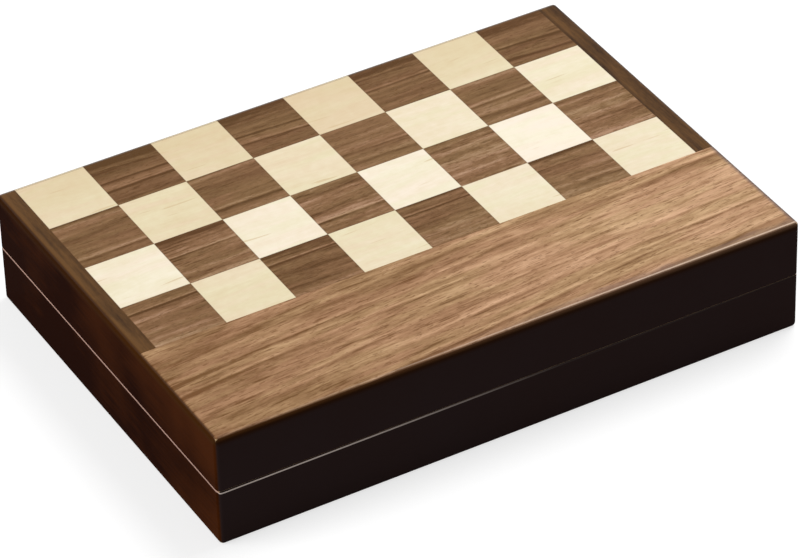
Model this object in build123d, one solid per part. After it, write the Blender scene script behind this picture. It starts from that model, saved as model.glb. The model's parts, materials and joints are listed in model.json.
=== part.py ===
from build123d import *
import os

# A folding chess case: two equal trays, hinged along one long side, with half of the playing board
# on top of the lid and the other half under the base. Opened flat and turned over, it is the board.
# Millimetres, +Z up. The origin is the middle of the base's underside, +X runs along the hinge side,
# the wide plain border is at -Y and the hinges are at +Y.

# Playing board, which sets the length and depth of the case
columns = 8
rows = 4  # rows of squares on each tray
square = 30.0
first_row = 29.0  # the row next to the wide border is a little short
back_margin = 2.2  # last row's extra depth, most of which the rounded edge takes
border_depth = 60.5
left_strip_width = 7.5  # the squares sit a little to the left of the middle
right_strip_width = 8.8

# Trays
tray_height = 25.2
wall_thickness = 8.0
panel_thickness = 3.0
rabbet_width = 4.0  # how far the panel reaches into the walls
veneer_thickness = 0.6
edge_round = 2.0  # edges round the board and the upright corners
rim_chamfer = 0.5  # outer edges of the two rims, which leave a fine groove at the parting line
felt_thickness = 1.0
felt_gap = 0.4  # between the felt and the walls

# Magnets, set into the front rims
magnet_radius = 2.5
magnet_height = 2.0
magnet_inset = 40.0  # from the end of the case to a magnet's middle
magnet_recess = 0.1  # below the rim

# Butt hinges, let into the back rims
hinge_length = 25.0
hinge_inset = 50.0  # from the end of the case to a hinge's middle
hinge_gap = 0.15  # from the back faces to the hinge's axis
leaf_thickness = 0.9
leaf_margin = 1.2  # wood left between a leaf and the inside of the wall
pin_radius = 0.75
pin_overhang = 0.3
knuckle_count = 5  # the base leaf has the odd ones out
knuckle_gap = 0.15
roll_seam = 0.12  # where a knuckle's rolled end meets its leaf
relief_gap = 0.3  # between the knuckles and the wood

# Hinge screws
screw_end_distance = 5.5  # from the end of a leaf to a screw's middle
screw_length = 9.0
shank_radius = 0.85
head_radius = 1.75
slot_width = 0.45
slot_depth = 0.3

fit_gap = 0.05  # round pins, screws, magnets and leaves

# Sizes that follow
case_length = left_strip_width + columns * square + right_strip_width
board_front = border_depth  # from the front of the case to the first row
case_depth = board_front + first_row + (rows - 1) * square + back_margin
inner_length = case_length - 2 * wall_thickness
inner_depth = case_depth - 2 * wall_thickness
front, back = -case_depth / 2, case_depth / 2
left, right = -case_length / 2, case_length / 2
field_left = left + left_strip_width
field_right = right - right_strip_width
panel_top = veneer_thickness + panel_thickness
bore_radius = pin_radius + fit_gap
knuckle_radius = bore_radius + leaf_thickness
leaf_reach = hinge_gap + wall_thickness - leaf_margin  # from the hinge's axis to the leaf's far edge
knuckle_pitch = hinge_length / knuckle_count
axis_y = back + hinge_gap
hinge_places = {"left": left + hinge_inset, "right": right - hinge_inset}
parting_plane = Plane.XY.offset(tray_height)

BOTTOM = (Align.CENTER, Align.CENTER, Align.MIN)
TOP = (Align.CENTER, Align.CENTER, Align.MAX)
CORNER = (Align.MIN, Align.MIN, Align.MIN)


def block(x0, x1, y0, y1, z0, z1):
    """A block between two limits on each axis."""
    return Pos(x0, y0, z0) * Box(x1 - x0, y1 - y0, z1 - z0, align=CORNER)


def tray_form():
    """The outer form of one tray, rim up: every piece of a tray is cut back to it."""
    form = Box(case_length, case_depth, tray_height, align=BOTTOM)
    rim = form.faces().sort_by(Axis.Z)[-1]
    form = fillet(form.edges() - rim.edges(), edge_round)
    return chamfer(form.faces().sort_by(Axis.Z)[-1].edges(), rim_chamfer)


def panel():
    """The plywood panel that carries the veneers."""
    reach = 2 * (rabbet_width - wall_thickness)
    board = Box(case_length + reach, case_depth + reach, panel_thickness, align=BOTTOM)
    return Pos(0, 0, veneer_thickness) * board


def walls(form):
    """Four mitred walls, rabbeted for the panel, in the order front, right, back, left."""
    outer = [(left, front), (right, front), (right, back), (left, back)]
    t = wall_thickness
    inner = [(left + t, front + t), (right - t, front + t), (right - t, back - t), (left + t, back - t)]
    made = {}
    for i, name in enumerate(("front", "right", "back", "left")):
        j = (i + 1) % 4
        outline = Polyline(outer[i], outer[j], inner[j], inner[i], close=True)
        length = extrude(make_face(outline), tray_height - veneer_thickness)
        made[name] = (Pos(0, 0, veneer_thickness) * length & form) - panel()
    made["front"] -= magnets(fit_gap)
    made["back"] -= hinge_pocket()
    return made


def magnets(grow=0.0):
    """The disc magnets of one rim, or the pockets for them when grown."""
    top = tray_height - (0 if grow else magnet_recess)
    height = top - (tray_height - magnet_recess - magnet_height)
    disc = Cylinder(magnet_radius + grow, height, align=TOP)
    places = [left + magnet_inset, right - magnet_inset]
    return Compound(children=[Pos(x, front + wall_thickness / 2, top) * disc for x in places])


def row_limits(row):
    """Front and back of one row of squares."""
    first = front + board_front
    near = first if row == 0 else first + first_row + (row - 1) * square
    far = first + first_row + row * square
    return near, back if row == rows - 1 else far


def squares(form, parity):
    """The veneer squares whose column and row add up to an even or odd number."""
    tiles = []
    for row in range(rows):
        near, far = row_limits(row)
        for column in range(columns):
            if (column + row) % 2 == parity:
                x = field_left + column * square
                tiles.append(block(x, x + square, near, far, 0, veneer_thickness) & form)
    return Compound(children=tiles)


def border(form):
    return block(left, right, front, front + board_front, 0, veneer_thickness) & form


def strip(form, x0, x1):
    """A narrow strip along the ends of the squares, up to the wide border."""
    return block(x0, x1, front + board_front, back, 0, veneer_thickness) & form


def felt():
    lining = Box(inner_length - 2 * felt_gap, inner_depth - 2 * felt_gap, felt_thickness, align=BOTTOM)
    return Pos(0, 0, panel_top) * lining


def screw(grow=0.0):
    """A countersunk screw with its head's top at the origin, or its hole when grown.

    The head is as thick as a leaf, so the countersink goes right through it.
    """
    outline = Polyline(
        (0, 0),
        (head_radius + grow, 0),
        (shank_radius + grow, -leaf_thickness),
        (shank_radius + grow, -screw_length - grow),
        (0, -screw_length - grow),
        close=True,
    )
    return revolve(Plane.XZ * make_face(outline), Axis.Z)


def slotted_screw():
    slot = Box(4 * head_radius, slot_width, slot_depth, align=TOP)
    return screw() - slot


def at_screws(shape):
    """Copies of a shape at one leaf's screws, placed from the middle of the hinge's axis."""
    x = hinge_length / 2 - screw_end_distance
    y = -(leaf_reach + knuckle_radius) / 2
    return [Pos(s, y, 0) * shape for s in (-x, x)]


def leaf(first_knuckle):
    """A leaf below its mating face, with every second knuckle rolled round the hinge's axis."""
    plate_back = -knuckle_radius - knuckle_gap
    made = block(-hinge_length / 2, hinge_length / 2, -leaf_reach, plate_back, -leaf_thickness, 0)
    arm = Pos(-leaf_reach, 0) * Rectangle(leaf_reach, leaf_thickness, align=(Align.MIN, Align.MAX))
    seam = Pos(-knuckle_radius, 0) * Rectangle(knuckle_radius, roll_seam, align=(Align.MIN, Align.MIN))
    roll = Circle(knuckle_radius) + arm - seam - Circle(bore_radius)
    for k in range(first_knuckle, knuckle_count, 2):
        start = -hinge_length / 2 + k * knuckle_pitch + (knuckle_gap / 2 if k else 0)
        end = -hinge_length / 2 + (k + 1) * knuckle_pitch - (knuckle_gap / 2 if k < knuckle_count - 1 else 0)
        made += Pos(start, 0, 0) * extrude(Plane.YZ * roll, end - start)
    for hole in at_screws(screw(fit_gap)):
        made -= hole
    return made


def along_axis(radius, length):
    return Rot(0, 90, 0) * Cylinder(radius, length)


def at_hinge(x, shape):
    return Pos(x, axis_y, tray_height) * shape


def hinge_pocket():
    """What is cut from a back wall: leaf mortises, room for the knuckles, and screw holes."""
    half = hinge_length / 2 + fit_gap
    mortise = block(-half, half, -leaf_reach - fit_gap, 0, -leaf_thickness, 0)
    relief = along_axis(knuckle_radius + relief_gap, hinge_length + 2 * (pin_overhang + relief_gap))
    cuts = [mortise, relief, *at_screws(screw(fit_gap))]
    return [at_hinge(x, cut) for x in hinge_places.values() for cut in cuts]


def tray(dark_parity):
    """Every piece of one tray, rim up, named without its tray."""
    form = tray_form()
    pieces = {f"{side}_wall": wall for side, wall in walls(form).items()}
    pieces["panel"] = panel()
    pieces["dark_squares"] = squares(form, dark_parity)
    pieces["light_squares"] = squares(form, 1 - dark_parity)
    pieces["wide_border"] = border(form)
    pieces["left_strip"] = strip(form, left, field_left)
    pieces["right_strip"] = strip(form, field_right, right)
    pieces["felt_lining"] = felt()
    pieces["magnets"] = magnets()
    screws = [at_hinge(x, s) for x in hinge_places.values() for s in at_screws(slotted_screw())]
    pieces["hinge_screws"] = Compound(children=screws)
    return pieces


def hinges():
    """Two hinges: the base leaf and the pin stay with the base, the lid leaf turns with the lid."""
    pieces = {}
    for side, x in hinge_places.items():
        pieces[f"{side}_hinge_base_leaf"] = at_hinge(x, leaf(0))
        pieces[f"{side}_hinge_lid_leaf"] = mirror(at_hinge(x, leaf(1)), about=parting_plane)
        pieces[f"{side}_hinge_pin"] = at_hinge(x, along_axis(pin_radius, hinge_length + 2 * pin_overhang))
    return pieces


pieces = hinges()
for name, piece in tray(dark_parity=1).items():
    pieces[f"base_{name}"] = piece
for name, piece in tray(dark_parity=0).items():
    pieces[f"lid_{name}"] = mirror(piece, about=parting_plane)

os.makedirs("parts", exist_ok=True)
for name, piece in pieces.items():
    piece.label = name
    export_step(piece, f"parts/{name}.step")
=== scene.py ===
"""Finishes for a folding chess case: veneered board, stained trays, felt and brass hinges."""

import json
import math

import bmesh
import bpy
from bpy.props import FloatProperty, FloatVectorProperty, PointerProperty
from mathutils import Euler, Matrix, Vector, noise

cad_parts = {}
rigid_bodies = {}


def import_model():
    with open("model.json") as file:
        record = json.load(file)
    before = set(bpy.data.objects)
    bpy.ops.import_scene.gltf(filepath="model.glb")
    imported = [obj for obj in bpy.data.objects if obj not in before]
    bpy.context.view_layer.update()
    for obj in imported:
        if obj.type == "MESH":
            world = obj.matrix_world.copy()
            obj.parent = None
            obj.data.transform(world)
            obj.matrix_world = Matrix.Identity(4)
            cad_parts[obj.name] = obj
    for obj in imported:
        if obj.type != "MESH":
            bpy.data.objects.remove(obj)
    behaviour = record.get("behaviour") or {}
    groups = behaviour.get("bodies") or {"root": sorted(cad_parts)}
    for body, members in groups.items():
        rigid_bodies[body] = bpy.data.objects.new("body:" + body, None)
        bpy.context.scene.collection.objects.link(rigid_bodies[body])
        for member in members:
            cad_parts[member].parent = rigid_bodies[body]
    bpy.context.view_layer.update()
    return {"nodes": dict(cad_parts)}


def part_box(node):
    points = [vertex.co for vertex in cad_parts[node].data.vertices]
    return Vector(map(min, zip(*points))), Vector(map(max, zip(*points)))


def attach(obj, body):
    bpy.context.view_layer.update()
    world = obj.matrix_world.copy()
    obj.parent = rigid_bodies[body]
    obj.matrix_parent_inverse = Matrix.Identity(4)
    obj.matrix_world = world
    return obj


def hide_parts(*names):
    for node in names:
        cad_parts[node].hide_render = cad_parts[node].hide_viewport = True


bl_info = {
    "name": "Folding Chess Case",
    "version": (1, 0, 0),
    "blender": (4, 5, 0),
    "location": "3D View > Sidebar > Chess Case",
    "description": "Finishes, felt linings and studio for a folding chess case",
    "category": "Object",
}

# The case goes into an empty scene
for leftover in list(bpy.data.objects):
    bpy.data.objects.remove(leftover)
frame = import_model()

MM = 0.001
TRAYS = ("base", "lid")

# Places in the case, in millimetres
border_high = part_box("lid_wide_border")[1] / MM
squares_low, squares_high = (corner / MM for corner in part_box("lid_light_squares"))
half_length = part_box("base_right_wall")[1].x / MM
half_depth = -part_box("base_front_wall")[0].y / MM
rim_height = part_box("base_front_wall")[1].z / MM
top_height = 2 * rim_height
edge_round = 2.0  # of the edges round the board
rim_chamfer = 0.5
columns = 8
rows = 4
square = (squares_high.x - squares_low.x) / columns
first_row = 29.0  # the row next to the wide border is a little short
second_row_front = border_high.y + first_row

# Finish near the edges of the board, in millimetres in from an outer face. Each pair of numbers
# is for Wire.rise: nothing shows at the first and all of it at the second.
FRONT_EDGE = (edge_round + 0.5, edge_round + 0.2)  # what counts as the front edge
FRONT_STAIN = (1.3, 0.45)  # the walls' stain on the veneer
SIDE_STAIN = (1.75, 0.7)  # the same on the other three sides
DULL_FRONT = (5.0, 2.4)  # ragged greyish band
DULL_FRONT_END = (5.0, 4.6)  # where the ragged band is cut off
DULL_RIGHT = (3.2, 1.4)  # plain band at the right end of the wide border
DULL_BACK = (2.4, 1.4)  # thin grey film
HIGHLIGHT_OUTSIDE = (1.0, 1.25)  # outer side of the painted highlight, a pale line along the front edge
HIGHLIGHT_INSIDE = (1.8, 1.5)
HIGHLIGHT_CORNER = (0.6, 0.9)  # where that line stops short of the end of the case

# The same kind of pairs, in millimetres down from the top of the lid
EDGE_TINT = (4.4, 1.6)  # how far the stain of the edge runs down the walls of the lid; the base's bottom edge is left dark, a painted shade
EDGE_SHADE = (0.8, 2.3)  # where it darkens on the long sides

# The same, from the rim
RIM_LINE_TOP = (-0.15, 0.0)  # of the pale line along the rim of the base: bare wood with a painted highlight
RIM_LINE_BOTTOM = (0.5, 0.27)
RIM_BARE = (0.04, 0.01)  # what counts as the flat of a rim

# Wood, in millimetres
SEAM_LINE = (0.3, 0.05)  # such a pair, for the dark line beside a seam between two squares
VENEER_LENGTH = 900  # the light squares come from random places over this length and width
VENEER_WIDTH = 700
BORDER_START = 340  # where the wide border starts along the figure of its veneer
WALL_JUMP = 137  # between the grain of two walls that meet in a mitre
CORNER_BLEND = 0.7  # over which the stains of two sides meet at a corner

# Specular levels of the two finishes
VENEER_GLOSS = 0.08
STAIN_GLOSS = 0.001

# Felt sheets, in metres
FELT_STEP = 0.003  # of the grid
FELT_EDGE = ((0, 0), (0, 0.55), (0.00015, 0.85))  # soft edge: steps in, and shares of the thickness
FELT_TOP_INSET = 0.0006
FELT_RIPPLES = 45  # to the metre
TUFT_TURNS = (0.4, 1.3, 2.2, 3.0)  # directions in which the fibres lie, in radians

# Stage, in metres
LAMP_AIM = (0, 0, 0.02)
FLOOR_REACH = 6.0  # from the middle to each side
FLOOR_DROP = 0.00002  # below the case, so that their faces don't meet
FLOOR_GREY = (0.4, 0.4, 0.4)
FLOOR_GLOW = 0.7  # with the lamps, this brings the floor to white except in the case's shadow
SENSOR_WIDTH = 36  # millimetres
VIEW_REACH = 50
BLACK, WHITE = (0.0, 0.0, 0.0), (1.0, 1.0, 1.0)


def srgb(red, green, blue):
    """Linear colour from the 0 to 255 values of a screen colour."""
    values = (c / 255 for c in (red, green, blue))
    return tuple(c / 12.92 if c <= 0.04045 else ((c + 0.055) / 1.055) ** 2.4 for c in values)


def colour(name, description, *value):
    """A colour setting, with its default given as a screen colour."""
    return FloatVectorProperty(
        name=name,
        description=description,
        default=srgb(*value),
        subtype="COLOR",
        size=3,
        min=0,
        max=1,
    )


class ChessCaseBoard(bpy.types.PropertyGroup):
    """Colours of the veneers."""

    walnut_dark: colour("Walnut dark", "Darkest lines of the dark squares", 88, 57, 25)
    walnut_mid: colour("Walnut middle", "Usual colour of the dark squares", 135, 101, 69)
    walnut_light: colour("Walnut light", "Palest lines of the dark squares", 182, 147, 118)
    maple_warm: colour("Maple warm", "Warmest of the light squares", 222, 201, 165)
    maple_mid: colour("Maple middle", "Usual colour of the light squares", 234, 221, 190)
    maple_pale: colour("Maple pale", "Palest of the light squares", 248, 237, 218)
    maple_fleck: colour("Maple fleck", "Short flecks in the light squares", 205, 176, 132)
    border_dark: colour("Border dark", "Darkest lines of the wide border", 114, 77, 43)
    border_mid: colour("Border middle", "Usual colour of the wide border", 173, 134, 99)
    border_light: colour("Border light", "Palest lines of the wide border", 226, 186, 148)
    reddish: colour("Reddish tint", "Multiplies the wood where it runs red", 255, 248, 250)
    olive: colour("Olive tint", "Multiplies the wood where it runs olive", 249, 254, 243)
    strip: colour("Side strip", "Narrow strips at the ends of the squares", 100, 68, 34)
    strip_dark: colour("Side strip, dark", "Dark lines of the narrow strips", 49, 28, 8)


class ChessCaseTrays(bpy.types.PropertyGroup):
    """Finish of the trays and what is inside them."""

    stain_ends: colour("Stain of the ends", "Red-brown stain on the short sides", 32, 9, 2)
    # Painted light: the walls are drawn towards this colour near the front corners and the top of
    # the lid
    stain_thin_and_lit: colour("Stain, thin", "Stain where it lies thin over the wood", 68, 32, 10)
    # Painted reflection: the walls' stain with the lacquer's neutral reflection painted in, as this
    # stain has almost no gloss
    stain_and_reflection_long: colour("Stain of the long sides", "Blackish stain on the long sides", 53, 41, 41)
    edge: colour("Rounded edge", "Stain on the rounded edge of the board", 66, 37, 13)
    edge_low: colour("Below the edge", "Stain of the long sides just below the edge", 49, 27, 14)
    # Greyish bands on the veneers: beside the front's painted highlight, at the right end of the
    # wide border, and along the back edge
    edge_dull: colour("Greyish edge band", "Greyish band beside the worn edge", 105, 88, 88)
    edge_grey: colour("Grey edge line", "Thin greyish film along the back edge", 162, 163, 160)
    # Painted highlight: the pale line on the rounded front edge, brighter to the right
    edge_highlight: colour("Painted edge highlight", "Where the front edge is rubbed pale", 224, 196, 172)
    bare: colour("Bare wood", "Unstained rims and insides of the walls", 206, 174, 131)
    bare_dark: colour("Bare wood, dark", "Darkest lines of the bare wood", 170, 130, 84)
    bare_pale: colour("Bare wood, pale", "Palest lines of the bare wood", 228, 202, 164)
    # The rim line is bare wood with a painted highlight on its arris; on the long sides it is
    # painted nearly white
    rim_line: colour("Rim line", "Bare edge of the base's rim on the short sides", 209, 170, 154)
    rim_line_long: colour("Rim line, long", "The same on the long sides", 246, 228, 217)
    ply: colour("Plywood", "Panels under the veneers", 190, 158, 112)
    felt: colour("Felt", "Linings of the trays", 22, 66, 42)
    # Painted shade: the colour of the hollows between the tufts
    felt_deep: colour("Felt, deep", "Hollows between the tufts", 13, 44, 27)
    felt_ripple: FloatProperty(
        name="Felt ripple",
        description="Height of the felt's uneven lie",
        default=0.00012,
        unit="LENGTH",
    )
    brass: colour("Brass", "Hinges and screws", 196, 164, 108)
    tarnish: colour("Tarnish", "Dull patches on the brass", 128, 96, 54)
    nickel: colour("Nickel", "Plating of the magnets", 158, 156, 150)


class ChessCaseStage(bpy.types.PropertyGroup):
    """Camera, lamps and floor."""

    azimuth: FloatProperty(
        name="Azimuth",
        description="Camera's bearing",
        default=math.radians(-28.937),
        subtype="ANGLE",
    )
    elevation: FloatProperty(
        name="Elevation",
        description="Camera's height angle",
        default=math.radians(36.66),
        subtype="ANGLE",
    )
    roll: FloatProperty(
        name="Roll",
        description="Camera's roll",
        default=math.radians(1.761),
        subtype="ANGLE",
    )
    distance: FloatProperty(
        name="Distance", description="From camera to aim", default=1.8962, unit="LENGTH"
    )
    lens: FloatProperty(name="Lens", description="Focal length", default=216.30, unit="CAMERA")
    aim: FloatVectorProperty(
        name="Aim",
        description="Where the camera points",
        default=(-0.00337, -0.01252, 0.0252),
        unit="LENGTH",
    )
    ambient: FloatProperty(name="Ambient", description="Light from all round", default=0.3)
    key_power: FloatProperty(
        name="Key lamp", description="Power of the soft lamp above", default=13.0, unit="POWER"
    )
    fill_power: FloatProperty(
        name="Fill lamp", description="Power of the low lamp", default=9.5, unit="POWER"
    )


class Wire:
    """An output of a shader node. Arithmetic on it adds Math nodes to the same tree."""

    def __init__(self, nodes, socket):
        self.nodes, self.socket = nodes, socket

    def math(self, operation, *values):
        """One Math node."""
        return self.nodes.add("ShaderNodeMath", {"operation": operation}, dict(enumerate(values)))

    def __add__(self, other):
        return self.math("ADD", self, other)

    def __sub__(self, other):
        return self.math("SUBTRACT", self, other)

    def __rsub__(self, other):
        return self.math("SUBTRACT", other, self)

    def __mul__(self, other):
        return self.math("MULTIPLY", self, other)

    def __truediv__(self, other):
        return self.math("DIVIDE", self, other)

    def __gt__(self, other):
        return self.math("GREATER_THAN", self, other)

    def __lt__(self, other):
        return self.math("LESS_THAN", self, other)

    def __abs__(self):
        return self.math("ABSOLUTE", self)

    def __floor__(self):
        return self.math("FLOOR", self)

    __radd__, __rmul__ = __add__, __mul__

    def fraction(self):
        return self.math("FRACT", self)

    def least(self, other):
        return self.math("MINIMUM", self, other)

    def most(self, other):
        return self.math("MAXIMUM", self, other)

    def rise(self, low, high, top=1.0):
        """0 below low, top above high and a smooth step between; low above high turns it round."""
        return self.nodes.add(
            "ShaderNodeMapRange",
            {"interpolation_type": "SMOOTHSTEP"},
            {"Value": self, "From Min": low, "From Max": high, "To Max": top},
        )


class Nodes:
    """Adds every node of one tree, a material's or the world's."""

    def __init__(self, tree):
        self.tree = tree
        tree.nodes.clear()

    def add(self, kind, settings=None, inputs=None, out=0):
        """A node of that kind: settings first, then values or wires for its inputs.

        Gives a wire from the output that is asked for, or the node itself where that is None.
        """
        node = self.tree.nodes.new(kind)
        for key, value in (settings or {}).items():
            if key == "stops":
                self.fill_ramp(node.color_ramp, value)
            else:
                setattr(node, key, value)
        for key, value in (inputs or {}).items():
            if isinstance(value, Wire):
                self.tree.links.new(value.socket, node.inputs[key])
            else:
                node.inputs[key].default_value = value
        if out is None:
            return node
        return Wire(self, node.outputs[out])

    @staticmethod
    def fill_ramp(ramp, stops):
        """Sets the stops of a colour ramp, which has two of its own to begin with."""
        for _ in stops[2:]:
            ramp.elements.new(0.5)  # gets its place below
        for element, (position, value) in zip(ramp.elements, stops):
            element.position = position
            element.color = (*value, 1)

    def split(self, vector):
        """The three numbers of a vector or a colour."""
        node = self.add("ShaderNodeSeparateXYZ", None, {0: vector}, out=None)
        return [Wire(self, output) for output in node.outputs]

    def join(self, x, y, z):
        """A vector made of three numbers."""
        return self.add("ShaderNodeCombineXYZ", None, {0: x, 1: y, 2: z})

    def mix(self, factor, first, second, blend="MIX"):
        """First colour where the factor is 0 and second where it is 1.

        The node's sockets have the same names for numbers and for colours, so they go by place.
        """
        values = [value if isinstance(value, Wire) else (*value, 1) for value in (first, second)]
        return self.add(
            "ShaderNodeMix",
            {"data_type": "RGBA", "blend_type": blend},
            {0: factor, 6: values[0], 7: values[1]},
            out=2,
        )

    def shown_directly(self):
        """1 for rays that show a surface as it is: from the camera, a gloss or a clear part."""
        path = self.add("ShaderNodeLightPath", out=None)
        kinds = [path.outputs[f"Is {kind} Ray"] for kind in ("Camera", "Glossy", "Transmission")]
        camera, glossy, transmission = (Wire(self, output) for output in kinds)
        return camera.most(glossy).most(transmission)


class Paint(Nodes):
    """A material painted by its place in the case, in millimetres."""

    LAYER = 20.0  # millimetres of height over which a figure changes, so that the boards differ

    def __init__(self, name):
        self.material = bpy.data.materials.new(name)
        self.material.use_nodes = True
        super().__init__(self.material.node_tree)
        place = self.add("ShaderNodeTexCoord", out="Object")
        place = self.add(
            "ShaderNodeVectorMath", {"operation": "SCALE"}, {"Vector": place, "Scale": 1 / MM}
        )
        self.x, self.y, self.z = self.split(place)

    def from_front(self):
        """How far a point lies behind the front face."""
        return self.y + half_depth

    def from_end(self):
        """How far in from the nearer short side a point lies."""
        return half_length - abs(self.x)

    def from_long_side(self):
        """How far in from the nearer long side a point lies."""
        return half_depth - abs(self.y)

    def inset(self):
        """How far in from the nearest outer face a point lies."""
        return self.from_end().least(self.from_long_side())

    def noise(self, x, y, z, detail=2.0, roughness=0.5):
        """Noise from 0 to 1 whose spots are a unit across in the given coordinates."""
        return self.add(
            "ShaderNodeTexNoise",
            None,
            {
                "Vector": self.join(x, y, z),
                "Scale": 1.0,
                "Detail": detail,
                "Roughness": roughness,
            },
        )

    def grain(self, x, y, length, width, amount=1.0, detail=2.0, roughness=0.5):
        """Noise about 0 with marks of that length along X and that width across it."""
        spots = self.noise(x / length, y / width, self.z / self.LAYER, detail, roughness)
        return (spots - 0.5) * amount

    def cloud(self, size, amount=1.0, detail=2.0, roughness=0.5):
        """Noise about 0 with spots of that size."""
        spots = self.noise(self.x / size, self.y / size, self.z / size, detail, roughness)
        return (spots - 0.5) * amount

    def ramp(self, value, *colours):
        """Evenly spaced colours along a value from 0 to 1."""
        stops = [(i / (len(colours) - 1), tint) for i, tint in enumerate(colours)]
        return self.add("ShaderNodeValToRGB", {"stops": stops}, {0: value})

    def bump(self, height, depth):
        """A normal from a height of 0 to 1 that stands for depth in millimetres."""
        return self.add(
            "ShaderNodeBump", None, {"Height": height, "Distance": depth * MM, "Strength": 1.0}
        )

    def finish(self, **inputs):
        """The surface itself. Names of sockets are written with underscores."""
        named = {}
        for key, value in inputs.items():
            plain_colour = isinstance(value, (tuple, bpy.types.bpy_prop_array))
            named[key.replace("_", " ")] = (*value, 1) if plain_colour else value
        surface = self.add("ShaderNodeBsdfPrincipled", None, named)
        self.add("ShaderNodeOutputMaterial", None, {"Surface": surface}, out=None)
        return self.material


def dress(node_name, material):
    """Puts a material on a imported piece."""
    mesh = frame["nodes"][node_name].data
    mesh.materials.clear()
    mesh.materials.append(material)


class Squares:
    """Which square of the board a point is in, and numbers that go with it.

    Rows are counted from the wide border. The last one also takes in the margin behind it.
    """

    def __init__(self, paint):
        across = (paint.x - squares_low.x) / square
        along = (paint.y - second_row_front) / square
        row = math.floor(along).least(rows - 2) + 1
        column = math.floor(across)
        upper_board = paint.z > rim_height
        self.along = along - row + 1  # 0 at the front of the square and 1 at its back
        self.in_row = [1 - abs(row - number).least(1) for number in range(rows)]
        self.of_row = self.numbers(paint, 0, row, upper_board)
        self.of_square = self.numbers(paint, column + 1, row, upper_board)
        middles = [abs(line.fraction() - 0.5) for line in (across, along)]
        self.to_seam = (0.5 - middles[0].most(middles[1])) * square

    @staticmethod
    def numbers(paint, *place):
        """Three random numbers that stay the same over one place."""
        draw = paint.add(
            "ShaderNodeTexWhiteNoise",
            {"noise_dimensions": "3D"},
            {"Vector": paint.join(*place)},
            out="Color",
        )
        return paint.split(draw)

    def by_row(self, *values):
        """The one of these values that belongs to the row, from the first to the last."""
        return sum(here * value for here, value in zip(self.in_row, values))


def walnut_figure(paint, x, y, ring_width, mark_length, shorter=1.0):
    """Broad and fine figure of walnut about 0, dark below it, and its pores from 0 to 1, along X.

    The growth rings lie ring_width apart and the streaks are mark_length long. The length of the
    fine marks is divided by shorter.
    """
    y = y + paint.grain(x, y, length=90, width=45, amount=6)
    waves = paint.grain(x, y, length=220, width=20, amount=2.6, detail=1)
    ring = (y / ring_width + waves).fraction()
    strength = paint.grain(x, y, length=120, width=7, detail=1).rise(-0.12, 0.12)
    pale_line = ring.rise(0.0, 0.08) * ring.rise(0.28, 0.1, top=0.14)
    dark_line = ring.rise(0.65, 0.9) * ring.rise(1.0, 0.94, top=0.24)
    bands = paint.grain(x, y, length=200, width=9, amount=0.32, detail=1)
    streaks = paint.grain(x, y, length=mark_length, width=3.0, amount=0.55, detail=1)
    x = x * shorter
    marks = paint.grain(x, y, length=9, width=1.1, amount=0.36, detail=1)
    fibres = paint.grain(x, y, length=2.5, width=0.6, amount=0.36, detail=4, roughness=0.65)
    dashes = paint.grain(x, y, length=14, width=0.75, detail=1).rise(0.1, 0.22, top=0.19)
    pores = paint.grain(x, y, length=3.2, width=0.5, detail=1, roughness=0.4).rise(0.1, 0.2)
    broad = bands + streaks + (pale_line - dark_line) * strength
    return broad, marks + fibres - dashes, pores


def drift_hue(paint, x, y, tint, board, amount):
    """Lets the wood run from reddish to olive."""
    patches = paint.grain(x, y, length=40, width=6).rise(-0.14, 0.14)
    return paint.mix(amount, tint, paint.mix(patches, board.reddish, board.olive), blend="MULTIPLY")


def edge_stain(paint, trays):
    """What counts as the front edge, and the stain of all four edges.

    The stain darkens towards the back, and a pale painted sheen lies on it along the front,
    stronger to the right.
    """
    front = paint.from_front().rise(*FRONT_EDGE)
    # Painted sheen: the front edge's stain is mixed a little towards the pale highlight, more to
    # the right
    film = paint.x.rise(-130, 130, top=0.04) + 0.005
    stain = paint.mix(paint.y.rise(-40, 50, top=0.7), trays.edge, trays.edge_low)
    return front, paint.mix(front * film, stain, trays.edge_highlight)


def greyish_edge_bands(paint, tint, trays):
    """Greyish bands on the veneers beside the front, right and back edges."""
    ragged = paint.inset() + paint.grain(paint.x, paint.y, length=12, width=3, amount=6)
    front = ragged.rise(*DULL_FRONT) * paint.from_front().rise(*DULL_FRONT_END)
    front = front * paint.x.rise(-60, 70, top=0.38)
    on_border = paint.y < border_high.y
    right = (half_length - paint.x).rise(*DULL_RIGHT, top=0.65) * on_border
    tint = paint.mix(front.most(right), tint, trays.edge_dull)
    back = (half_depth - paint.y).rise(*DULL_BACK, top=0.3)
    return paint.mix(back, tint, trays.edge_grey)


def finish_edge(paint, tint, trays):
    """Carries the walls' stain over the rounded edge of the board, with a pale highlight painted
    along the front.
    """
    inset = paint.inset()
    front, stain = edge_stain(paint, trays)
    stained = inset.rise(*SIDE_STAIN) * (1 - front) + inset.rise(*FRONT_STAIN) * front
    tint = paint.mix(stained, greyish_edge_bands(paint, tint, trays), stain)
    from_front = paint.from_front()
    # Painted highlight: a pale line along the rounded front edge, broken by noise and brighter to
    # the right
    line = from_front.rise(*HIGHLIGHT_INSIDE) * from_front.rise(*HIGHLIGHT_OUTSIDE) * inset.rise(*HIGHLIGHT_CORNER)
    broken = paint.noise(paint.x / 4, 0.0, 0.0) * 0.5 + 0.7
    pale_highlight = line * broken * paint.x.rise(-130, 110, top=0.8)
    return paint.mix(pale_highlight, tint, trays.edge_highlight)


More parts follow.
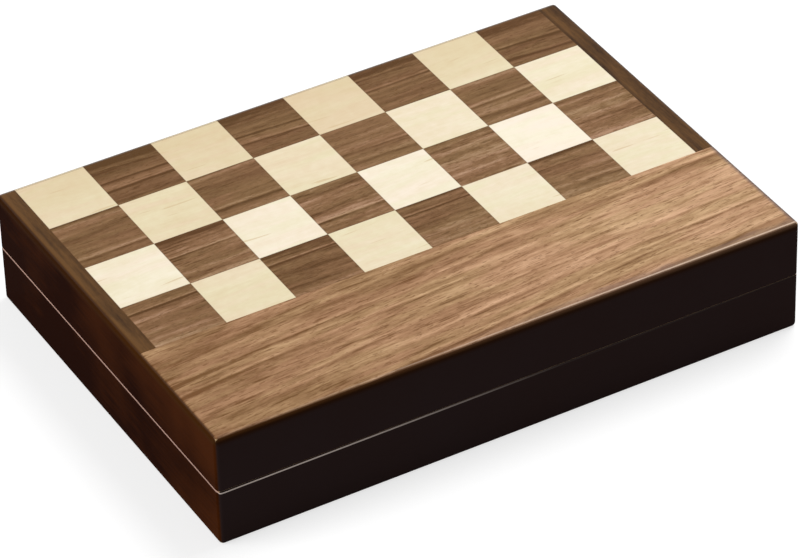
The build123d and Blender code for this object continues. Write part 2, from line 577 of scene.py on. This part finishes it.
def walnut_square_material(board, trays):
    """Each row is cut from one strip of veneer, so its squares carry the same lines."""
    paint = Paint("walnut_squares")
    squares = Squares(paint)
    shift, tilt, tone_shift = squares.of_square
    # The figure is drawn out along the row, and each square is shifted and tilted a little in it
    x = paint.x * 0.7 + shift * 30
    y = paint.y + squares.of_row[0] * VENEER_WIDTH
    y = y + (paint.x - squares_low.x) * (tilt - 0.5) * 0.06
    broad, fine, pores = walnut_figure(paint, x, y, ring_width=9, mark_length=60, shorter=2.2)
    contrast = squares.by_row(1.9, 2.3, 1.4, 1.4)
    dark_end = squares.along.rise(0.72, 0.95) * squares.by_row(0.22, 0.22, 0.0, 0.22)
    # Row tones are partly the veneer's own and partly painted sheen: the last row, by the hinge, is
    # painted darker
    tone = squares.by_row(0.48, 0.44, 0.4, 0.22) + (broad + fine * 0.7) * contrast
    tone = tone + tone_shift * 0.06 - dark_end
    tint = paint.ramp(tone, board.walnut_dark, board.walnut_mid, board.walnut_light)
    tint = drift_hue(paint, x, y, tint, board, amount=0.7)
    tint = paint.mix(pores * 0.45, tint, board.walnut_dark)
    tint = paint.mix(squares.to_seam.rise(*SEAM_LINE, top=0.5), tint, board.walnut_dark)
    return paint.finish(
        Base_Color=finish_edge(paint, tint, trays),
        Roughness=0.36 + pores * 0.2,
        Specular_IOR_Level=VENEER_GLOSS,
        Normal=paint.bump(1 - pores, depth=0.03),
    )


def maple_square_material(board, trays):
    """Each square is cut from its own place in the veneer, and each row differs in tone, partly by
    painted sheen.
    """
    paint = Paint("maple_squares")
    squares = Squares(paint)
    along, across, tone_shift = squares.of_square
    x = paint.x + along * VENEER_LENGTH
    y = paint.y + across * VENEER_WIDTH
    y = y + paint.grain(x, paint.y, length=80, width=33, amount=12, detail=1)
    bands = paint.grain(x, y, length=80, width=10, amount=0.5)
    streaks = paint.grain(x, y, length=12, width=1.4, amount=0.3) + paint.cloud(4, amount=0.35)
    fibres = paint.grain(x, y, length=3, width=0.6, detail=4, roughness=0.65)
    # Row tones are partly the veneer's own and partly painted sheen: the second row is painted
    # paler and the last row, by the hinge, darker
    tone = squares.by_row(0.36, 0.69, 0.36, 0.2) + bands + streaks + fibres * 0.3
    tone = tone + tone_shift * 0.2 + paint.x / half_length * squares.by_row(0.14, 0.14, 0.14, 0.0)
    tint = paint.ramp(tone, board.maple_warm, board.maple_mid, board.maple_pale)
    tint = drift_hue(paint, x, y, tint, board, amount=0.4)
    # Painted shade with a warmer tone: the last row darkens towards its back
    back_row_tone_and_shade = squares.along.rise(-0.6, 1.0) * squares.by_row(0.0, 0.0, 0.0, 0.33)
    tint = paint.mix(back_row_tone_and_shade, tint, board.maple_fleck)
    flecks = paint.grain(x, y, length=18, width=1.3, detail=0).rise(0.3, 0.36, top=0.5)
    tint = paint.mix(flecks, tint, board.maple_fleck)
    tint = paint.mix(squares.to_seam.rise(*SEAM_LINE, top=0.4), tint, board.walnut_dark)
    return paint.finish(
        Base_Color=finish_edge(paint, tint, trays),
        Roughness=0.34 + fibres * 0.1,
        Specular_IOR_Level=VENEER_GLOSS,
        Normal=paint.bump(fibres, depth=0.01),
    )


def border_material(board, trays):
    """One wide veneer whose grain rises a little to the right, more so towards the front."""
    paint = Paint("wide_border_walnut")
    slope = (border_high.y - paint.y) * 0.0007 + 0.045
    x = paint.x + BORDER_START
    y = paint.y - paint.x * slope
    broad, fine, pores = walnut_figure(paint, x, y, ring_width=11, mark_length=26)
    tone = (broad + fine) * 1.35 + paint.x / half_length * 0.17 + 0.48
    tint = paint.ramp(tone, board.border_dark, board.border_mid, board.border_light)
    tint = drift_hue(paint, x, y, tint, board, amount=0.7)
    tint = paint.mix(pores * 0.6, tint, board.border_dark)
    return paint.finish(
        Base_Color=finish_edge(paint, tint, trays),
        Roughness=0.38 + pores * 0.2,
        Specular_IOR_Level=VENEER_GLOSS,
        Normal=paint.bump(1 - pores, depth=0.03),
    )


def strip_material(board, trays):
    """Narrow strips with their grain along Y, darker next to the squares and at the right.

    The left one is paler along its outer edge, more so towards the back.
    """
    paint = Paint("side_strips")
    streaks = paint.grain(paint.y, paint.x, length=50, width=2.0, detail=3)
    patches = paint.grain(paint.y, paint.x, length=30, width=8, amount=1.4)
    fibres = paint.grain(paint.y, paint.x, length=3, width=0.6, amount=0.8)
    inner = (abs(paint.x) - squares_high.x).rise(1.8, 0.3, top=0.25)
    left_edge = (paint.x + half_length).rise(4.0, 2.2, top=0.45) * paint.y.rise(-60, 60)
    right = (paint.x > 0) * 0.12
    dark = streaks * 1.4 + patches + fibres + inner + right - left_edge + 0.38
    tint = paint.mix(dark, board.strip, board.strip_dark)
    return paint.finish(
        Base_Color=finish_edge(paint, tint, trays),
        Roughness=0.35 + streaks * 0.1,
        Specular_IOR_Level=VENEER_GLOSS,
        Normal=paint.bump(streaks, depth=0.02),
    )


def outer_stain(paint, trays, grain):
    """What counts as a long side, and the stain outside.

    It is red-brown on the short sides and blackish on the long ones, where a neutral reflection is
    painted into it. Painted light makes it lighter near the front corners and towards the top of
    the lid, and darker towards the back. Near the top of the lid it runs into the stain of the
    edge.
    """
    # Painted light: the stain is lighter near the front corners and towards the top of the lid, and
    # darker towards the back
    painted_light = paint.y.rise(-10, -half_depth, top=1.1) - paint.y.rise(0, half_depth, top=0.3)
    painted_light = painted_light + paint.z.rise(rim_height, top_height, top=0.3)
    thin = paint.cloud(45, amount=2.4, detail=3) + painted_light + grain * 0.9
    ends = paint.mix(thin, trays.stain_ends, trays.stain_thin_and_lit)
    # On the long sides the colour carries a painted neutral reflection
    sides = paint.mix(thin * 0.15, trays.stain_and_reflection_long, trays.edge_low)
    long_side = (paint.from_end() - paint.from_long_side()).rise(-CORNER_BLEND, CORNER_BLEND)
    stain = paint.mix(long_side, ends, sides)
    # Only the lid's top gets this band; the base's bottom edge stays dark as painted shade
    from_top = top_height - paint.z
    _, edge = edge_stain(paint, trays)
    edge = paint.mix(long_side * from_top.rise(*EDGE_SHADE), edge, trays.edge_low)
    return long_side, paint.mix(from_top.rise(*EDGE_TINT), stain, edge)


def rim_line(paint, trays, stain, along, long_side):
    """Lays the pale line along the rim of the base, bare wood with a painted highlight that fades
    to the right on the long sides.
    """
    uneven = (paint.noise(along / 5, 0.0, 0.0) - 0.5) * 0.1
    lift = long_side * (paint.x * 0.0022 - 0.2)
    drop = rim_height - paint.z + lift + uneven
    # Painted highlight: on the long sides the line fades out to the right
    share = (1 - long_side).most(paint.x.rise(40, -105)).most(0.04)
    pale_highlight = share * drop.rise(*RIM_LINE_TOP) * drop.rise(*RIM_LINE_BOTTOM)
    return paint.mix(pale_highlight, stain, paint.mix(long_side, trays.rim_line, trays.rim_line_long))


def wall_material(trays, tray):
    """Dark stain outside, bare wood on the rim and inside."""
    paint = Paint(f"{tray}_walls")
    inset = paint.inset()
    long_wall = paint.from_end() > paint.from_long_side()
    along = paint.x + paint.y + long_wall * WALL_JUMP
    grain = paint.noise(along / 20, inset / 0.9, paint.z / 0.9, detail=3) - 0.5
    fibres = paint.noise(along / 4, inset / 0.3, paint.z / 0.3, detail=1)
    long_side, stain = outer_stain(paint, trays, grain)
    if tray == "base":
        stain = rim_line(paint, trays, stain, along, long_side)
        from_rim = rim_height - paint.z
    else:
        from_rim = paint.z - rim_height
    bare_tone = grain * 1.3 + fibres * 0.6 + 0.2
    bare = paint.ramp(bare_tone, trays.bare_dark, trays.bare, trays.bare_pale)
    inside = inset.rise(rim_chamfer + 0.05, rim_chamfer + 0.3)
    return paint.finish(
        Base_Color=paint.mix(inside.most(from_rim.rise(*RIM_BARE)), stain, bare),
        Roughness=0.35 + inside * 0.35 + grain * 0.08,
        Specular_IOR_Level=STAIN_GLOSS,
        Normal=paint.bump(grain + fibres * inside * 0.5, depth=0.02),
    )


def plywood_material(trays):
    """Plies that show at the edges of the panels."""
    paint = Paint("plywood_panels")
    plies = paint.noise(paint.x / 20, paint.y / 2.5, paint.z * 3, detail=3)
    return paint.finish(
        Base_Color=paint.mix(plies, trays.ply, trays.bare),
        Roughness=0.6,
        Normal=paint.bump(plies, depth=0.05),
    )


def felt_material(trays):
    """Short fibres that cross each other in tufts."""
    paint = Paint("green_felt")
    x = paint.x + paint.cloud(3.0, amount=4)
    y = paint.y + paint.cloud(3.7, amount=4)
    tufts = paint.cloud(1.5, amount=0.6)
    for turn in TUFT_TURNS:
        along = x * math.cos(turn) + y * math.sin(turn)
        across = y * math.cos(turn) - x * math.sin(turn)
        tufts = tufts + paint.grain(along, across, length=1.4, width=0.2)
    # Painted shade: the hollows between the tufts are painted darker, over a broad colour variation
    shade = (tufts * 0.8 + paint.cloud(20, amount=0.5)).rise(-0.35, 0.35)
    return paint.finish(
        Base_Color=paint.mix(shade, trays.felt_deep, trays.felt),
        Roughness=0.95,
        Specular_IOR_Level=0.1,
        Sheen_Weight=0.35,
        Sheen_Roughness=0.5,
        Normal=paint.bump(tufts, depth=0.12),
    )


def brass_material(trays):
    """Brass rubbed along X, with dull patches."""
    paint = Paint("hinge_brass")
    rub = paint.noise(paint.x / 2.5, paint.y / 0.17, paint.z / 0.17, detail=3)
    patches = paint.cloud(3.3, detail=4, roughness=0.65)
    tarnished = patches.rise(0.0, 0.25, top=0.6)
    return paint.finish(
        Base_Color=paint.mix(tarnished, trays.brass, trays.tarnish),
        Metallic=1.0,
        Roughness=0.34 + rub * 0.12 + patches * 0.12,
        Normal=paint.bump(rub, depth=0.008),
    )


def nickel_material(trays):
    """Bright plating with fine scuffs."""
    paint = Paint("magnet_nickel")
    scuffs = paint.cloud(0.5, detail=4, roughness=0.7)
    scuffed = scuffs.rise(0.0, 0.3, top=0.3)
    return paint.finish(
        Base_Color=paint.mix(scuffed, trays.nickel, trays.tarnish),
        Metallic=1.0,
        Roughness=0.26 + scuffs * 0.2,
        Normal=paint.bump(scuffs, depth=0.002),
    )


def perimeter(across, along):
    """Places round the edge of a grid, in order."""
    places = [(i, 0) for i in range(across)]
    places += [(across, j) for j in range(along)]
    places += [(i, along) for i in range(across, 0, -1)]
    return places + [(0, j) for j in range(along, 0, -1)]


def felt_sheet(tray, ripple):
    """A lining cut from felt: a slightly uneven top, with soft edges down to its panel."""
    low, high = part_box(f"{tray}_felt_lining")
    panel_low, panel_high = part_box(f"{tray}_panel")
    size = high - low
    across, along = (round(length / FELT_STEP) for length in size.xy)
    up = 1 if tray == "base" else -1
    floor = panel_high.z if tray == "base" else panel_low.z
    form = bmesh.new()

    def vertex(place, inset, share):
        """A corner of the grid, drawn in by the inset, at a share of the sheet's thickness."""
        x = low.x + inset + (size.x - 2 * inset) * place[0] / across
        y = low.y + inset + (size.y - 2 * inset) * place[1] / along
        lie = abs(noise.noise(Vector((x, y, low.z)) * FELT_RIPPLES)) * ripple if share == 1 else 0
        return form.verts.new((x, y, floor + up * (size.z * share - lie)))

    places = [(i, j) for i in range(across + 1) for j in range(along + 1)]
    top = {place: vertex(place, FELT_TOP_INSET, 1) for place in places}
    for i in range(across):
        for j in range(along):
            form.faces.new((top[i, j], top[i + 1, j], top[i + 1, j + 1], top[i, j + 1]))
    edge = perimeter(across, along)
    loops = [[vertex(place, inset, share) for place in edge] for inset, share in FELT_EDGE]
    loops.append([top[place] for place in edge])
    for lower, upper in zip(loops, loops[1:]):
        for k in range(len(edge)):
            form.faces.new((lower[k - 1], lower[k], upper[k], upper[k - 1]))
    form.faces.new(loops[0])
    bmesh.ops.recalc_face_normals(form, faces=form.faces)
    mesh = bpy.data.meshes.new(f"{tray}_felt")
    form.to_mesh(mesh)
    form.free()
    mesh.shade_smooth()
    piece = bpy.data.objects.new(f"{tray}_felt", mesh)
    bpy.context.scene.collection.objects.link(piece)
    return piece, (size.x, size.y)


class CHESSCASE_OT_dark_squares(bpy.types.Operator):
    """Walnut for the dark squares of both trays"""

    bl_idname = "chess_case.dark_squares"
    bl_label = "Dark Squares"
    bl_options = {"REGISTER", "UNDO"}

    def execute(self, context):
        scene = context.scene
        material = walnut_square_material(scene.chess_case_board, scene.chess_case_trays)
        for tray in TRAYS:
            dress(f"{tray}_dark_squares", material)
        return {"FINISHED"}


class CHESSCASE_OT_light_squares(bpy.types.Operator):
    """Maple for the light squares of both trays"""

    bl_idname = "chess_case.light_squares"
    bl_label = "Light Squares"
    bl_options = {"REGISTER", "UNDO"}

    def execute(self, context):
        scene = context.scene
        material = maple_square_material(scene.chess_case_board, scene.chess_case_trays)
        for tray in TRAYS:
            dress(f"{tray}_light_squares", material)
        return {"FINISHED"}


class CHESSCASE_OT_wide_borders(bpy.types.Operator):
    """Long-grained walnut for the wide borders"""

    bl_idname = "chess_case.wide_borders"
    bl_label = "Wide Borders"
    bl_options = {"REGISTER", "UNDO"}

    def execute(self, context):
        scene = context.scene
        material = border_material(scene.chess_case_board, scene.chess_case_trays)
        for tray in TRAYS:
            dress(f"{tray}_wide_border", material)
        return {"FINISHED"}


class CHESSCASE_OT_side_strips(bpy.types.Operator):
    """Dark veneer for the narrow strips"""

    bl_idname = "chess_case.side_strips"
    bl_label = "Side Strips"
    bl_options = {"REGISTER", "UNDO"}

    def execute(self, context):
        scene = context.scene
        material = strip_material(scene.chess_case_board, scene.chess_case_trays)
        for tray in TRAYS:
            for side in ("left", "right"):
                dress(f"{tray}_{side}_strip", material)
        return {"FINISHED"}


class CHESSCASE_OT_walls(bpy.types.Operator):
    """Dark stain outside and bare wood inside for the walls"""

    bl_idname = "chess_case.walls"
    bl_label = "Walls"
    bl_options = {"REGISTER", "UNDO"}

    def execute(self, context):
        for tray in TRAYS:
            material = wall_material(context.scene.chess_case_trays, tray)
            for side in ("front", "right", "back", "left"):
                dress(f"{tray}_{side}_wall", material)
        return {"FINISHED"}


class CHESSCASE_OT_panels(bpy.types.Operator):
    """Plywood for the panels"""

    bl_idname = "chess_case.panels"
    bl_label = "Panels"
    bl_options = {"REGISTER", "UNDO"}

    def execute(self, context):
        material = plywood_material(context.scene.chess_case_trays)
        for tray in TRAYS:
            dress(f"{tray}_panel", material)
        return {"FINISHED"}


class CHESSCASE_OT_felt_linings(bpy.types.Operator):
    """Felt sheets laid on the panels"""

    bl_idname = "chess_case.felt_linings"
    bl_label = "Felt Linings"
    bl_options = {"REGISTER", "UNDO"}

    def execute(self, context):
        trays = context.scene.chess_case_trays
        material = felt_material(trays)
        for tray in TRAYS:
            piece, flat = felt_sheet(tray, trays.felt_ripple)
            piece.data.materials.append(material)
            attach(piece, tray)
            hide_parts(f"{tray}_felt_lining")
        return {"FINISHED"}


class CHESSCASE_OT_hinges(bpy.types.Operator):
    """Brass for the hinges and their screws"""

    bl_idname = "chess_case.hinges"
    bl_label = "Hinges"
    bl_options = {"REGISTER", "UNDO"}

    def execute(self, context):
        material = brass_material(context.scene.chess_case_trays)
        for side in ("left", "right"):
            for part in ("base_leaf", "lid_leaf", "pin"):
                dress(f"{side}_hinge_{part}", material)
        for tray in TRAYS:
            dress(f"{tray}_hinge_screws", material)
        return {"FINISHED"}


class CHESSCASE_OT_magnets(bpy.types.Operator):
    """Nickel plating for the magnets"""

    bl_idname = "chess_case.magnets"
    bl_label = "Magnets"
    bl_options = {"REGISTER", "UNDO"}

    def execute(self, context):
        material = nickel_material(context.scene.chess_case_trays)
        for tray in TRAYS:
            dress(f"{tray}_magnets", material)
        return {"FINISHED"}


def place_camera(stage):
    """Aims the camera by its bearing, height angle and distance, and then rolls it."""
    turn = Vector((math.sin(stage.azimuth), -math.cos(stage.azimuth), 0))
    back = turn * math.cos(stage.elevation) + Vector((0, 0, math.sin(stage.elevation)))
    lens = bpy.data.cameras.new("camera")
    lens.lens = stage.lens
    lens.sensor_width = SENSOR_WIDTH
    lens.clip_end = VIEW_REACH
    camera = bpy.data.objects.new("camera", lens)
    camera.location = Vector(stage.aim) + back * stage.distance
    facing = back.to_track_quat("Z", "Y")
    camera.rotation_euler = (facing @ Euler((0, 0, -stage.roll)).to_quaternion()).to_euler()
    bpy.context.scene.collection.objects.link(camera)
    bpy.context.scene.camera = camera


def place_lamp(name, power, size, place):
    """A round soft lamp turned towards the case."""
    lamp = bpy.data.lights.new(name, "AREA")
    lamp.energy = power
    lamp.shape = "DISK"
    lamp.size = size
    holder = bpy.data.objects.new(name, lamp)
    holder.location = place
    holder.rotation_euler = (Vector(place) - Vector(LAMP_AIM)).to_track_quat("Z", "Y").to_euler()
    bpy.context.scene.collection.objects.link(holder)


def white_world(scene, ambient):
    """White to look at, and dimmer as a light."""
    world = bpy.data.worlds.new("white_world")
    world.use_nodes = True
    scene.world = world
    nodes = Nodes(world.node_tree)
    strength = ambient + nodes.shown_directly() * (1 - ambient)
    inputs = {"Color": (*WHITE, 1), "Strength": strength}
    background = nodes.add("ShaderNodeBackground", None, inputs)
    nodes.add("ShaderNodeOutputWorld", None, {"Surface": background}, out=None)


def white_floor(scene):
    """A plain floor, white to look at except where the case shades it."""
    form = bmesh.new()
    bmesh.ops.create_grid(form, x_segments=1, y_segments=1, size=FLOOR_REACH)
    mesh = bpy.data.meshes.new("floor")
    form.to_mesh(mesh)
    form.free()
    floor = bpy.data.objects.new("floor", mesh)
    floor.location.z = -FLOOR_DROP
    scene.collection.objects.link(floor)
    paint = Paint("white_floor")
    material = paint.finish(
        Base_Color=FLOOR_GREY,
        Roughness=1.0,
        Specular_IOR_Level=0.0,
        Emission_Color=paint.mix(paint.shown_directly(), BLACK, WHITE),
        Emission_Strength=FLOOR_GLOW,
    )
    mesh.materials.append(material)


class CHESSCASE_OT_stage(bpy.types.Operator):
    """White floor and background, soft lamps and the camera"""

    bl_idname = "chess_case.stage"
    bl_label = "Stage"
    bl_options = {"REGISTER", "UNDO"}

    def execute(self, context):
        stage = context.scene.chess_case_stage
        place_camera(stage)
        place_lamp("key_lamp", stage.key_power, size=0.7, place=(0.55, 0.15, 1.3))
        place_lamp("fill_lamp", stage.fill_power, size=0.9, place=(-1.2, 0.3, 0.5))
        white_world(context.scene, stage.ambient)
        white_floor(context.scene)
        return {"FINISHED"}


class CHESSCASE_PT_sidebar(bpy.types.Panel):
    """Everything that makes the case, and its settings"""

    bl_label = "Chess Case"
    bl_space_type = "VIEW_3D"
    bl_region_type = "UI"
    bl_category = "Chess Case"

    def draw(self, context):
        for operator in OPERATORS:
            self.layout.operator(operator.bl_idname)
        for name, group in SETTINGS.items():
            box = self.layout.box()
            for key in group.__annotations__:
                box.prop(getattr(context.scene, name), key)


OPERATORS = (
    CHESSCASE_OT_dark_squares,
    CHESSCASE_OT_light_squares,
    CHESSCASE_OT_wide_borders,
    CHESSCASE_OT_side_strips,
    CHESSCASE_OT_walls,
    CHESSCASE_OT_panels,
    CHESSCASE_OT_felt_linings,
    CHESSCASE_OT_hinges,
    CHESSCASE_OT_magnets,
    CHESSCASE_OT_stage,
)
SETTINGS = {
    "chess_case_board": ChessCaseBoard,
    "chess_case_trays": ChessCaseTrays,
    "chess_case_stage": ChessCaseStage,
}


def register():
    """Adds the settings, the operators and the panel."""
    for cls in (*SETTINGS.values(), *OPERATORS, CHESSCASE_PT_sidebar):
        bpy.utils.register_class(cls)
    for name, group in SETTINGS.items():
        setattr(bpy.types.Scene, name, PointerProperty(type=group))


def unregister():
    """Takes them away again."""
    for name in SETTINGS:
        delattr(bpy.types.Scene, name)
    for cls in (CHESSCASE_PT_sidebar, *reversed(OPERATORS), *SETTINGS.values()):
        bpy.utils.unregister_class(cls)


def main():
    """Makes everything."""
    register()
    for operator in OPERATORS:
        group, name = operator.bl_idname.split(".")
        getattr(getattr(bpy.ops, group), name)()
    bpy.context.scene.view_settings.view_transform = "Standard"


if __name__ == "__main__":
    main()
